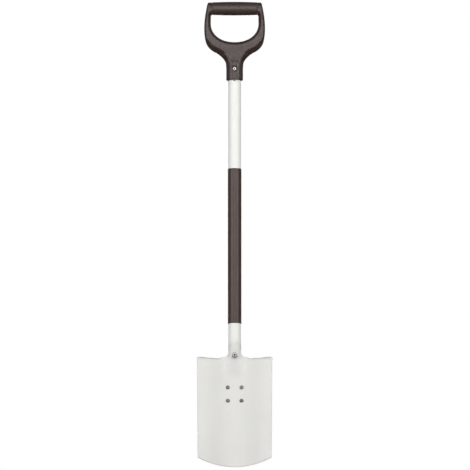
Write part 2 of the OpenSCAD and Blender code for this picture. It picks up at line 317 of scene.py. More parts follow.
def moulded(name, light, dark, rough, specular):
    """Spark-eroded moulded plastic: a fine grain, with a slow change of gloss."""
    material, tree, shader = clouded(name, light, dark, (45, 3.0), rough, 0.06, 160, 4.0)
    shader.inputs["Specular IOR Level"].default_value = specular
    bump(tree, shader, [(noise(tree, 2600, 3.0, 0.6), 0.00003)])
    return material


def plated(name, light, dark, rough):
    """Zinc-plated steel: cloudy colour and gloss, with a fine grain."""
    material, tree, shader = clouded(name, light, dark, (350, 4.0, 0.6), rough, 0.08, 600)
    shader.inputs["Metallic"].default_value = 1.0
    bump(tree, shader, [(noise(tree, 1500, 4.0, 0.65), 0.00002)])
    return material


blade_coat = powder_coat("blade_coat", (0.745, 0.74, 0.715), (0.715, 0.71, 0.685), 0.36)
shaft_coat = powder_coat("shaft_coat", (0.86, 0.86, 0.835), (0.84, 0.84, 0.815), 0.38)
sleeve_plastic = moulded("sleeve_plastic", (0.062, 0.033, 0.026), (0.052, 0.028, 0.022), 0.43, 0.65)
handle_plastic = moulded("handle_plastic", (0.052, 0.028, 0.023), (0.042, 0.023, 0.019), 0.44, 0.75)
grip_plastic = moulded("grip_plastic", (0.055, 0.030, 0.024), (0.045, 0.025, 0.02), 0.48, 0.8)
plug_plastic = moulded("plug_plastic", (0.02, 0.02, 0.02), (0.012, 0.012, 0.012), 0.5, 0.5)
grey_steel = plated("grey_steel", (0.29, 0.28, 0.27), (0.21, 0.203, 0.196), 0.52)
bright_steel = plated("bright_steel", (0.58, 0.575, 0.57), (0.48, 0.475, 0.47), 0.42)
# Near-black steel painted into the screws' recesses and round the neck screw's head edge: painted shade,
# not the steel's own colour
shade_painted_steel = plated("shade_painted_steel", (0.10, 0.095, 0.09), (0.05, 0.047, 0.044), 0.6)

# ---------------------------------------------------------------- sleeve
# Each end has a lip, set off by a shallow groove with sloping sides
LIP_L, GROOVE_W, GROOVE_DEPTH, GROOVE_SLOPE = 3.2, 0.7, 0.28, 0.15
SLEEVE_GAP = 0.05
sleeve_l = SLEEVE_HIGH - SLEEVE_LOW
low_half = [
    (TUBE_R + SLEEVE_GAP, 0),
    (SLEEVE_R, 0),
    (SLEEVE_R, LIP_L),
    (SLEEVE_R - GROOVE_DEPTH, LIP_L + GROOVE_SLOPE),
    (SLEEVE_R - GROOVE_DEPTH, LIP_L + GROOVE_W),
    (SLEEVE_R, LIP_L + GROOVE_W + GROOVE_SLOPE),
]
low_radii = [0.1, 0.45, 0, 0, 0, 0]
sleeve_profile = round_corners(
    low_half + [(r, sleeve_l - z) for r, z in reversed(low_half)], low_radii + low_radii[::-1]
)
points, faces = turned(sleeve_profile)
put_in(
    "sleeve", points + [0, SHAFT_Y, SLEEVE_LOW], outward(points, faces), sleeve_plastic,
    ["grip_sleeve"], sharp=40,
)


# ---------------------------------------------------------------- shaft
def stadium(half_w, half_t, n=144):
    """A closed loop of a flattened tube, two half circles joined by straight walls, evenly spaced."""
    half_t = min(half_t, half_w)
    flat, arc = half_w - half_t, math.pi * half_t
    places = np.arange(n) * (4 * flat + 2 * arc) / n
    turn = np.clip((places - flat) / half_t, 0, np.pi)
    turn += np.clip((places - 3 * flat - arc) / half_t, 0, np.pi)
    x = np.clip(places, 0, flat) - np.clip(places - flat - arc, 0, 2 * flat)
    x += np.clip(places - 3 * flat - 2 * arc, 0, flat)
    return np.stack([x + half_t * np.sin(turn), -half_t * np.cos(turn)], 1)


def blade_to_shaft(p):
    """Turns points in the blade's own frame about the neck point, by the blade's lift."""
    p = np.asarray(p, float)
    c, s = math.cos(LIFT), math.sin(LIFT)
    return np.stack([p[:, 0], p[:, 1] * c + p[:, 2] * s, -p[:, 1] * s + p[:, 2] * c], 1)


def neck_to_row(p):
    return np.asarray(p, float) + [0, SHAFT_Y, NECK_Z]


def tang_loops():
    """Loops of the flattened end, from the tang's foot up to the round swage, about the neck point."""
    # The foot's edge is rounded: distance up from it, and share of the tang's thickness
    foot = [(0.0, 0.35), (0.15, 0.7), (0.5, 1.0), (1.2, 1.0)]
    heights = [-TANG_DEPTH + up for up, _ in foot]
    heights += np.linspace(heights[-1], BULGE_LOW - 2, 38)[1:].tolist()
    heights += np.linspace(BULGE_LOW, BULGE_HIGH - 4, 44).tolist()
    thickness = [share for _, share in foot] + [1.0] * (len(heights) - len(foot))
    loops = []
    for z, share in zip(heights, thickness):
        rise = np.clip(z + TANG_DEPTH, 0, TANG_CORNER_R)
        corner = TANG_CORNER_R - math.sqrt(TANG_CORNER_R**2 - (TANG_CORNER_R - rise) ** 2)
        t = float(neck_share(z))
        half_t = TANG_HALF_T * share + (SWAGE_R - TANG_HALF_T) * t
        half_w = TANG_HALF_W - corner + (SWAGE_R - TANG_HALF_W) * t
        loop = stadium(half_w, half_t)
        x, y = loop[:, 0], loop[:, 1]
        bend = (np.sqrt(TANG_R**2 - x**2) - TANG_R) * (1 - t)
        flat = np.stack([x, y + bend, np.full(len(x), z)], 1)
        upright = float(upright_share(z))
        loops.append(blade_to_shaft(flat) * (1 - upright) + flat * upright)
    return loops


def tube_loops():
    """Loops of the round part: swage, step, tube, its rolled top edge and a short way down inside it."""
    top = TUBE_TOP - NECK_Z
    bore_r = TUBE_R - SHEET_T
    rows = [(BULGE_HIGH - 2, SWAGE_R), (TONGUE_H - 1.2, SWAGE_R), (TONGUE_H - 0.4, SWAGE_R + 0.6)]
    rows += [(TONGUE_H, TUBE_R - 0.6), (TONGUE_H + 0.3, TUBE_R - 0.25), (TONGUE_H + 0.8, TUBE_R)]
    rows += [(z, TUBE_R) for z in np.linspace(TONGUE_H + 12, top - 0.4, 12)]
    rows += [(top - 0.1, TUBE_R - 0.12), (top, TUBE_R - 0.4), (top, bore_r + 0.3), (top - 0.3, bore_r)]
    rows += [(TONGUE_H + 30, bore_r)]
    loops = []
    for z, r in rows:
        loop = stadium(r, r)
        loops.append(np.column_stack([loop, np.full(len(loop), z)]))
    return loops


points, faces = rings(tang_loops() + tube_loops())
around = len(stadium(SWAGE_R, SWAGE_R))
points, faces = capped(points, faces, [(0, around, True), (len(points) - around, around, False)])
put_in(
    "shaft", neck_to_row(points), outward(points, faces), shaft_coat,
    ["shaft_tube"], sharp=50,
)


# ---------------------------------------------------------------- blade
# Within NEAR of the middle the sheet belongs to the neck. Up to FAR it blends into the plain dish.
NEAR, FAR = 34.0, 60.0
# The edge of the treads stays this far below the neck point
EDGE_DROP = 0.15
# The dish's middle lies this far in front of the shaft's axis, and the neck's crest rises from there
DISH_FRONT = -(DISH_AXIS_Y + DISH_R)
CREST_RISE = PIPE_R - DISH_FRONT
# Height at which the sheet is wrapped half round the swage
FULL_WRAP_V = 14.4
# Smallest radius of the hollow beside the neck's crest
HOLLOW_R = 4.0
# Distance along the sheet above which it follows the neck's sections alone, out to FAR. On the
# treads this leaves a step in the back edge.
SECTIONS_ALONE_V = 6.0
# The blade's side flares out to the treads between these heights, and each tread's outer end
# is rounded off over this width
SHOULDER_LOW, SHOULDER_HIGH = -13.5, -8.5
TREAD_END_W = 6.5
# How far from the middle the fillet beside the neck is centred
FILLET_X = 28.0
TONGUE_CORNER_R = 2.5
# The flat seat of the neck screw, and the width of its sloping rim
SEAT_R, SEAT_RIM = 6.0, 2.4
SEAT_Y = -PIPE_R + 0.9


def tread_share(x):
    """How much of the tread's bend the sheet takes at this width: none beside the neck."""
    return smoothstep(NEAR - 8.5, NEAR, np.abs(x))


def tread_shape(v, share):
    """Height and backward reach of the sheet at distance v along it, for a share of the bend."""
    angle = np.maximum(TREAD_ANGLE * share, 1e-6)
    bend_l = TREAD_R * TREAD_ANGLE
    along = np.clip(v + TREAD_H, 0, None)
    part = np.clip(along / bend_l, 0, 1)
    beyond = np.clip(along - bend_l, 0, None)
    radius = bend_l / angle
    height = np.where(v < -TREAD_H, v, -TREAD_H) + radius * np.sin(angle * part) + beyond * np.cos(angle)
    reach = radius * (1 - np.cos(angle * part)) + beyond * np.sin(angle)
    return height, reach


def top_edge(x):
    """Distance along the sheet at which it is level with the treads' upper edge."""
    low = np.full(np.shape(x), -TREAD_H)
    high = np.full(np.shape(x), TREAD_H)
    share = tread_share(x)
    for _ in range(30):
        middle = (low + high) / 2
        over = tread_shape(middle, share)[0] > -EDGE_DROP
        low, high = np.where(over, low, middle), np.where(over, middle, high)
    return (low + high) / 2


def neck_section(v):
    """Cross-section of the sheet at distance v along it: distance across, x and y.

    The section is drawn by its heading: it turns over the crest, back through the hollow
    beside it, and then follows the dish.
    """
    step = 0.2
    across = np.arange(0, 140, step)
    proud = CREST_RISE * float(neck_share(v))
    half_w = 32 - 12 * float(smoothstep(-40, 10, v))
    turn = 2 * math.atan(proud / half_w)
    both_r = half_w / max(math.sin(turn), 1e-6)
    crest_r = max(PIPE_R, 0.55 * both_r)
    rise = float(smoothstep(-2, FULL_WRAP_V, v))
    turn = turn * (1 - rise) + math.pi / 2 * rise
    hollow_r = max(both_r - crest_r, HOLLOW_R) * (1 - rise) + HOLLOW_R * rise
    heading = np.minimum(across / crest_r, turn - (across - crest_r * turn) / hollow_r)
    heading = np.maximum(heading, 0) - across / DISH_R * (1 - rise)
    middle = (heading[1:] + heading[:-1]) / 2
    x = np.concatenate([[0], np.cumsum(np.cos(middle))]) * step
    y = np.concatenate([[0], np.cumsum(np.sin(middle))]) * step
    return across, x, y - DISH_FRONT - proud


SECTION_STEP = 0.5
SECTION_V = np.arange(BULGE_LOW - 2, TONGUE_H + 1, SECTION_STEP)
SECTIONS = [neck_section(v) for v in SECTION_V]
SPANS = np.array([np.interp(NEAR, x, across) for across, x, y in SECTIONS])


def near_span(v):
    """Distance across the sheet to where x is NEAR, at distance v along it."""
    return np.interp(v, SECTION_V, SPANS)


def section_at(v, p):
    """Sheet position at distance v along it, and at p across it, where p is x far from the neck."""
    place = float(np.clip((v - SECTION_V[0]) / SECTION_STEP, 0, len(SECTION_V) - 1.001))
    i = int(place)
    f = place - i
    x = y = 0.0
    for k, share in ((i, 1 - f), (i + 1, f)):
        across, xs, ys = SECTIONS[k]
        u = p * SPANS[k] / NEAR if p < NEAR else np.interp(p, xs, across)
        x += share * np.interp(u, across, xs)
        y += share * np.interp(u, across, ys)
    return x, y


def sheet_point(p, v):
    """The middle of the sheet at (p, v), in the shaft's frame about the neck point."""
    side = math.copysign(1, p)
    p = abs(p)
    height, reach = tread_shape(np.array(v), float(tread_share(p)))
    x, y = p, DISH_AXIS_Y + math.sqrt(DISH_R**2 - p**2)
    if v > SECTION_V[0] and p < FAR:
        near_x, near_y = section_at(v, p)
        away = 0.0 if v > SECTIONS_ALONE_V else float(smoothstep(20, 40, p))
        x, y = near_x + (x - near_x) * away, near_y + (y - near_y) * away
    flat = np.array([x, y + float(reach), float(height)])
    upright = float(upright_share(v)) * (1 - float(smoothstep(20, NEAR, p)))
    leaning = blade_to_shaft(flat[None])[0]
    point = leaning * (1 - upright) + flat * upright
    seat = 1 - float(smoothstep(SEAT_R, SEAT_R + SEAT_RIM, math.hypot(x, point[2] - NECK_SCREW_RISE)))
    point[1] += (SEAT_Y - point[1]) * seat
    point[0] *= side
    return point


def arc_points(centre, radius, start, end, step=1.2):
    """Points along an arc, angles in degrees, without its last point."""
    n = max(2, round(abs(math.radians(end - start)) * radius / step))
    turn = np.radians(np.linspace(start, end, n, endpoint=False))
    return np.stack([centre[0] + radius * np.cos(turn), centre[1] + radius * np.sin(turn)], 1)


def line_points(start, end, step=1.6):
    n = max(1, round(math.dist(start, end) / step))
    return np.linspace(start, end, n, endpoint=False)


def low_outline():
    """Half outline of the digging edge and the blade's side, from the tip up to the shoulder."""
    low_z = -BLADE_LEN + TIP_DROP
    tip_r = (BLADE_HALF_LOW**2 + TIP_DROP**2) / (2 * TIP_DROP)
    corner = math.degrees(math.atan2(low_z + BLADE_LEN - tip_r, BLADE_HALF_LOW))
    # The corner is taken off over this distance
    cut = 1.2
    tip = arc_points((0, -BLADE_LEN + tip_r), tip_r, -90, corner - math.degrees(cut / tip_r), 2.0)
    low = np.array([tip[-1], [BLADE_HALF_LOW - 0.15, low_z + 0.15], [BLADE_HALF_LOW + 0.01, low_z + cut]])
    side = line_points((BLADE_HALF_LOW + 0.02, low_z + cut + 1), (BLADE_HALF_TOP, SHOULDER_LOW), 2.0)
    return np.vstack([tip[:-1], low, side])


def tread_outline():
    """Half outline of the shoulder, the tread's rounded outer end and its upper edge."""
    shoulder = line_points((BLADE_HALF_TOP, SHOULDER_LOW), (TREAD_HALF, SHOULDER_HIGH), 1.0)
    top_v = float(top_edge(np.array(70.0)))
    rise_v = np.arange(SHOULDER_HIGH, top_v - 0.2, 0.9)
    risen = (rise_v - SHOULDER_HIGH) / (top_v - SHOULDER_HIGH)
    rise = np.stack([TREAD_HALF - TREAD_END_W * risen**1.8, rise_v], 1)
    xs = np.arange(TREAD_HALF - TREAD_END_W, FILLET_X + 0.5, -1.3)
    return np.vstack([shoulder, rise, np.stack([xs, top_edge(xs)], 1)])


def tongue_outline():
    """Half outline of the fillet beside the neck and of the tongue that wraps half round the swage."""
    strip = PIPE_R * math.pi / 2
    fillet = []
    for angle in np.linspace(270, 180, 26)[1:]:
        x = FILLET_X + FILLET_R * math.cos(math.radians(angle))
        z = FILLET_R + FILLET_R * math.sin(math.radians(angle))
        v = z + float(top_edge(np.array(x))) + EDGE_DROP
        i = int(np.clip((v - SECTION_V[0]) / SECTION_STEP, 0, len(SECTIONS) - 1))
        across, section_x, _ = SECTIONS[i]
        slope = np.clip(np.gradient(section_x, across), 0, 1)
        outer_x = section_x + np.sqrt(1 - slope**2) * SHEET_T / 2
        u = float(np.interp(x, np.maximum.accumulate(outer_x) + across * 1e-7, across))
        u = min(u, strip) if z > FILLET_R - 0.5 else u
        fillet.append((u * NEAR / near_span(v), v))
    r = TONGUE_CORNER_R
    rising = [(strip * NEAR / near_span(v), v) for v in np.arange(FILLET_R + 1, TONGUE_H - r, 1.0)]
    end_p = strip * NEAR / near_span(TONGUE_H)
    round_end = arc_points((end_p - r, TONGUE_H - r), r, 0, 90, 0.6)
    last = line_points((end_p - r, TONGUE_H), (0, TONGUE_H), 1.2)
    return np.vstack([fillet, rising, round_end, last])


def inside(points, polygon):
    """Which points are inside a polygon."""
    x, y = points[:, 0][:, None], points[:, 1][:, None]
    a, b = polygon, np.roll(polygon, -1, axis=0)
    crosses = (a[:, 1] > y) != (b[:, 1] > y)
    drop = np.where(b[:, 1] == a[:, 1], 1e-9, b[:, 1] - a[:, 1])
    at = a[:, 0] + (y - a[:, 1]) * (b[:, 0] - a[:, 0]) / drop
    return (crosses & (x < at)).sum(1) % 2 == 1


def distance_to(points, polygon):
    """Distance from each point to the nearest edge of a polygon."""
    best = np.full(len(points), 1e9)
    for a, b in zip(polygon, np.roll(polygon, -1, axis=0)):
        d = b - a
        t = np.clip(((points - a) @ d) / max(d @ d, 1e-12), 0, 1)
        best = np.minimum(best, np.hypot(*(points - a - t[:, None] * d).T))
    return best


# Patches of points inside the blade's outline, finer where the sheet bends: the ranges across
# and along the sheet, and the steps across and along it
PATCHES = (
    (-84, 84, -250.5, -52, 3.0, 3.0),
    (-84, -42, -49.5, -15, 3.0, 2.5),
    (42, 84.1, -49.5, -15, 3.0, 2.5),
    (-40.5, 40.6, -50, 27.5, 1.1, 1.1),
    (-84, -41.4, -13.2, 5.3, 1.6, 0.8),
    (41.6, 84.1, -13.2, 5.3, 1.6, 0.8),
)
# No such point lies nearer to the outline than this
CLEAR_OF_RIM = 0.75
# Radius of the rounded edges of the sheet's rim
RIM_R = 0.6


def patch_points(outline):
    """Staggered points of all patches that lie inside the outline."""
    spots = []
    for x0, x1, v0, v1, dx, dv in PATCHES:
        gx, gv = np.meshgrid(np.arange(x0, x1, dx), np.arange(v0, v1, dv))
        gx[1::2] += dx / 2
        spots.append(np.stack([gx.ravel(), gv.ravel()], 1))
    spots = np.vstack(spots)
    spots = spots[inside(spots, outline)]
    return spots[distance_to(spots, outline) > CLEAR_OF_RIM]


def blade_mesh():
    """The pressed sheet: front and back a sheet's thickness apart, joined by a rounded rim."""
    right = np.vstack([low_outline(), tread_outline(), tongue_outline()])
    outline = np.vstack([right, [[0, TONGUE_H]], (right * [-1, 1])[:0:-1]])
    domain = np.vstack([outline, patch_points(outline)])
    n = len(outline)
    loop = list(range(n))
    verts, _, tris, orig, _, _ = delaunay_2d_cdt([Vector(p) for p in domain], [], [loop], 1, 1e-6)
    order = [o[0] for o in orig]
    index = {o: i for i, o in enumerate(order)}
    middle = np.array([sheet_point(*domain[o]) for o in order])
    normal = np.zeros_like(middle)
    triangles = []
    for t in tris:
        a, b, c = (verts[i] for i in t)
        if (b - a).cross(c - a) < 0:
            t = t[::-1]
        triangles.append(tuple(t))
        normal_t = np.cross(middle[t[1]] - middle[t[0]], middle[t[2]] - middle[t[0]])
        for i in t:
            normal[i] += normal_t
    normal /= np.linalg.norm(normal, axis=1)[:, None]
    rim = [index[i] for i in loop]
    edge = middle[rim]
    tangent = np.roll(edge, -1, axis=0) - np.roll(edge, 1, axis=0)
    tangent /= np.linalg.norm(tangent, axis=1)[:, None]
    out = np.cross(tangent, normal[rim])
    half_t, r = SHEET_T / 2, RIM_R
    front = middle + normal * half_t
    back = middle - normal * half_t
    front[rim] -= out * r
    back[rim] -= out * r
    points = [front, back]
    faces = list(triangles) + [tuple(i + len(middle) for i in reversed(t)) for t in triangles]
    count = 2 * len(middle)
    last = rim
    for turn in (30, 60, 90, -90, -60, -30):
        a = math.radians(abs(turn))
        side = math.copysign(1, turn)
        ring = edge - out * r * (1 - math.sin(a)) + normal[rim] * side * (half_t - r + r * math.cos(a))
        points.append(ring)
        this = list(range(count, count + n))
        faces += [(last[j], this[j], this[(j + 1) % n], last[(j + 1) % n]) for j in range(n)]
        last, count = this, count + n
    this = [i + len(middle) for i in rim]
    faces += [(last[j], this[j], this[(j + 1) % n], last[(j + 1) % n]) for j in range(n)]
    return np.vstack(points), faces


points, faces = blade_mesh()
put_in("blade_sheet", neck_to_row(points), outward(points, faces), blade_coat, ["blade"])


# ---------------------------------------------------------------- D-handle
SOCKET_R = 18.5
HANDLE_H = 179.0
BAR_RISE = BAR_Z - SOCKET_Z
BAR_END_R = 14.0
GRIP_HALF = 50.0
ARM_TOP = 178.5
# The hand opening: half width, lowest point, height of its round lower part and that curve's power
OPEN_HALF_W, OPEN_LOW, OPEN_ROUND, OPEN_POWER = 53.0, 88.6, 42.4, 2.15
BORE_R, BORE_H = 14.15, 59.1
SCREW_RISE = node_middle("handle_screw")[2] - SOCKET_Z
RECESS_R, RECESS_Y = 6.2, -15.9
# The flat body ends here inside the socket, the socket here inside the body
BODY_LOW, SOCKET_TOP = 28.0, 44.0
# The space between the arms that the grip fills starts here, and this core runs through the grip
GAP_LOW = 146.0
CORE_R, CORE_LAP = 8.0, 3.0
# The tab at the front of the socket's mouth
TAB_HALF_W, TAB_HALF_H, TAB_HALF_T, TAB_Y = 1.9, 2.3, 1.5, -16.4


def bezier(a, b, c, d, steps=24):
    t = np.linspace(0, 1, steps, endpoint=False)[:, None]
    a, b, c, d = map(np.array, (a, b, c, d))
    return (1 - t) ** 3 * a + 3 * (1 - t) ** 2 * t * b + 3 * (1 - t) * t**2 * c + t**3 * d


def mirrored(right):
    """A closed outline from its right half, drawn from the top down."""
    return np.vstack([right, (right * [-1, 1])[::-1]])


def smooth_min(a, b, k):
    h = np.clip(0.5 + 0.5 * (b - a) / k, 0, 1)
    return b * (1 - h) + a * h - k * h * (1 - h)


def smooth_max(a, b, k):
    return -smooth_min(-a, -b, k)


class Plane:
    """A smooth 2-D field over x and height, stored on a grid and read between its points."""

    def __init__(self, step, x_half, low, high):
        self.step, self.x0, self.z0 = step, -x_half, low
        self.x = np.arange(-x_half, x_half + step / 2, step)
        self.z = np.arange(low, high + step / 2, step)
        self.at = np.stack(np.meshgrid(self.x, self.z, indexing="ij"), -1).reshape(-1, 2)

    def grid(self, values):
        return np.asarray(values).reshape(len(self.x), len(self.z))

    def read(self, grid, x, z):
        i = np.clip((x - self.x0) / self.step, 0, len(self.x) - 1.001)
        j = np.clip((z - self.z0) / self.step, 0, len(self.z) - 1.001)
        a, b = i.astype(int), j.astype(int)
        f, g = i - a, j - b
        low = grid[a, b] * (1 - f) + grid[a + 1, b] * f
        high = grid[a, b + 1] * (1 - f) + grid[a + 1, b + 1] * f
        return low * (1 - g) + high * g


def signed_distance(points, polygon):
    d = distance_to(points, polygon)
    return np.where(inside(points, polygon), -d, d)


handle_outline = mirrored(np.vstack([
    [[0, ARM_TOP], [57, ARM_TOP], [58.8, ARM_TOP - 0.9]],
    bezier([60, 174.5], [66, 151], [70.6, 119], [64.9, 92.5]),
    bezier([64.9, 92.5], [63.2, 81], [55.6, 71.3], [43.2, 65.2]),
    bezier([43.2, 65.2], [33, 60.2], [21.3, 50], [SOCKET_R, 36]),
    [[SOCKET_R, 36], [SOCKET_R, 20]],
]))
turn = np.linspace(0, np.pi / 2, 33)
opening = mirrored(np.vstack([
    [[GRIP_HALF - 12, 150.4], [OPEN_HALF_W - 3, 149.4]],
    [[OPEN_HALF_W - 1.4, 148.7], [OPEN_HALF_W - 0.4, 147.4]],
    np.stack([
        OPEN_HALF_W * np.cos(turn) ** (2 / OPEN_POWER),
        OPEN_LOW + OPEN_ROUND * (1 - np.sin(turn) ** (2 / OPEN_POWER)),
    ], 1)[:-1],
    [[0.01, OPEN_LOW]],
]))
plane = Plane(step=0.5, x_half=72, low=-6, high=184)
out_d = signed_distance(plane.at, handle_outline)
open_d = signed_distance(plane.at, opening)


# Half depth of the face at each height. It is averaged over these shifts, so that no line shows
# where two runs meet.
FACE_Z = [30, 44, 60, 74, 92, 125, 148, 156, 160]
FACE_DEPTH = [18.2, 17.2, 16.0, 13.6, 11.9, 11.5, 12.6, 13.2, 13.4]
FACE_SHIFTS = (-9, -6, -3, 0, 3, 6, 9)


def half_depth(at, out_d, open_d):
    """Half of the handle's depth: flat face, sloping flanks below the arms, bevels round the opening."""
    x, z = np.abs(at[:, 0]), at[:, 1]
    face = np.mean([np.interp(z + shift, FACE_Z, FACE_DEPTH) for shift in FACE_SHIFTS], axis=0)
    crown = np.sqrt(np.clip(BAR_END_R**2 - (z - BAR_RISE) ** 2, 0.3, None))
    face = np.where(z > BAR_RISE, crown, face)
    inner = 3.4 + 1.45 * np.clip(open_d, 0, None)
    flank = smoothstep(102, 82, z)
    slope = 1.7 * (1 - flank) + 1.08 * flank + 1.2 * smoothstep(64, 44, z)
    edge = 6.2 * (1 - flank) + 3.0 * flank
    outer = edge + slope * np.clip(-out_d, 0, None)
    outer = np.where(z > BAR_RISE - 8, outer + 0.5 * (z - BAR_RISE + 8), outer)
    depth = smooth_min(smooth_min(face, inner, 2.0), outer, 2.6)
    round_part = np.sqrt(np.clip(SOCKET_R**2 - x**2, 0.0, None))
    up = smoothstep(33, 58, z)
    return round_part * (1 - up) + depth * up


depth_grid = plane.grid(half_depth(plane.at, out_d, open_d))
out_grid, open_grid = plane.grid(out_d), plane.grid(open_d)
slope_x, slope_z = np.gradient(depth_grid, plane.step)
steep_grid = np.sqrt(1 + np.clip(slope_x**2 + slope_z**2, 0, 9))


def handle_field(p):
    """Below zero inside the moulding. Points are x and y from the shaft's axis, and the height."""
    x, y, z = p[..., 0], p[..., 1], p[..., 2]
    around = np.hypot(x, y)
    depth = plane.read(depth_grid, x, z)
    flat = (np.abs(y) - depth) / plane.read(steep_grid, x, z)
    plan = smooth_max(plane.read(out_grid, x, z), -plane.read(open_grid, x, z), 0.6)
    body = smooth_max(smooth_max(flat, plan, 3.0), BODY_LOW - z, 10.0)
    socket = smooth_max(smooth_max(around - SOCKET_R, MOUTH - z, 2.2), z - SOCKET_TOP, 6.0)
    field = smooth_min(body, socket, 3.0)
    gap = smooth_max(np.abs(x) - GRIP_HALF - 0.1, GAP_LOW - z, 0.5)
    field = smooth_max(field, -gap, 0.5)
    core = smooth_max(np.hypot(y, z - BAR_RISE) - CORE_R, np.abs(x) - GRIP_HALF - CORE_LAP, 0.4)
    field = np.minimum(field, core)
    tab_face = smooth_max(np.abs(x) - TAB_HALF_W, np.abs(z - MOUTH) - TAB_HALF_H, 0.6)
    tab = smooth_max(tab_face, np.abs(y - TAB_Y) - TAB_HALF_T, 0.6)
    field = np.minimum(field, tab)
    bore = np.maximum(around - BORE_R, z - BORE_H)
    field = smooth_max(field, -bore, 0.8)
    recess = smooth_max(np.hypot(x, z - SCREW_RISE) - RECESS_R, y - RECESS_Y, 0.6)
    field = smooth_max(field, -recess, 0.8)
    return field


def surface_net(field, low, high, step):
    """Quads round field = 0, one point for each crossed cell, drawn onto the surface itself."""
    axes = [np.arange(a, b + step, step) for a, b in zip(low, high)]
    values = field(np.stack(np.meshgrid(*axes, indexing="ij"), -1))
    solid = values < 0
    shape = np.array(values.shape) - 1
    total = np.zeros((*shape, 3))
    count = np.zeros(shape)
    corners = [(i, j, k) for i in (0, 1) for j in (0, 1) for k in (0, 1)]

    def part(array, c):
        return array[c[0]:c[0] + shape[0], c[1]:c[1] + shape[1], c[2]:c[2] + shape[2]]

    for a in corners:
        for axis in range(3):
            if a[axis]:
                continue
            b = list(a)
            b[axis] = 1
            va, vb = part(values, a), part(values, b)
            crossed = part(solid, a) != part(solid, b)
            t = np.where(crossed, va / np.where(crossed, va - vb, 1), 0)
            place = np.zeros((*shape, 3)) + np.array(a)
            place[..., axis] += t
            total += place * crossed[..., None]
            count += crossed
    live = count > 0
    index = np.full(shape, -1)
    index[live] = np.arange(live.sum())
    cells = np.argwhere(live)
    points = (cells + total[live] / count[live][:, None]) * step + np.array([a[0] for a in axes])
    faces = []
    for axis in range(3):
        u, v = (axis + 1) % 3, (axis + 2) % 3
        first = [slice(None)] * 3
        second = [slice(None)] * 3
        first[axis], second[axis] = slice(None, -1), slice(1, None)
        change = np.argwhere(solid[tuple(first)] != solid[tuple(second)])
        change = change[(change[:, u] > 0) & (change[:, v] > 0)]
        into = solid[tuple(first)][tuple(change.T)]
        steps = np.eye(3, dtype=int)
        quad = [change - steps[u] - steps[v], change - steps[v], change, change - steps[u]]
        ids = np.stack([index[tuple(q.T)] for q in quad], 1)
        ids[~into] = ids[~into][:, ::-1]
        faces.append(ids)
    reach = 0.15
    for _ in range(4):
        gradient = np.stack([
            (field(points + reach * d) - field(points - reach * d)) / (2 * reach) for d in np.eye(3)
        ], 1)
        size = np.clip((gradient**2).sum(1), 0.2, None)
        points = points - np.clip(field(points) / size, -0.5, 0.5)[:, None] * gradient
    return points, np.concatenate(faces)


points, faces = surface_net(handle_field, (-69, -20, -2), (69, 20, HANDLE_H + 1), 1.0)
put_in(
    "d_handle", points + [0, SHAFT_Y, SOCKET_Z], faces.tolist(), handle_plastic,
    ["handle_frame"],
)

# Crossbar's grip: a barrel round the core, whose ends are rounded off
END_ROUND, CORE_GAP = 0.9, 0.15
crown = (np.ptp(np.array(node_box("handle_grip")), axis=0)[2] / 2) - BAR_END_R
heights = np.linspace(-GRIP_HALF + END_ROUND, GRIP_HALF - END_ROUND, 41)
barrel = [(BAR_END_R + crown * (1 - (h / GRIP_HALF) ** 2), h) for h in heights]
end_r = barrel[0][0]
low_end = [(CORE_R + CORE_GAP, -GRIP_HALF), (end_r - END_ROUND, -GRIP_HALF)]
low_end += [(end_r - 0.4, -GRIP_HALF + 0.1), (end_r - 0.1, -GRIP_HALF + 0.4)]
profile = low_end + barrel + [(r, -h) for r, h in reversed(low_end)]
points, faces = turned(profile, 80)
points = np.stack([points[:, 2], points[:, 1], points[:, 0]], 1)
put_in(
    "crossbar_grip", points + [0, SHAFT_Y, BAR_Z], outward(points, faces), grip_plastic,
    ["handle_grip"], sharp=60,
)


# ---------------------------------------------------------------- screws, rivets and washers
def hexagon(angles):
    """Radius of a hexagon whose flats are 1 from its middle."""
    return 1 / np.cos((angles + np.pi / 6) % (np.pi / 3) - np.pi / 6)


def cross(angles):
    """Radius of a cross with arms 1 long."""
    half = math.radians(12)
    off = np.abs((angles + np.pi / 4) % (np.pi / 2) - np.pi / 4)
    return np.where(off <= half + 1e-6, 1 / np.cos(off), math.tan(half) / np.maximum(np.sin(off), 1e-3))


PITCH, RIDGE = 0.8, 0.3


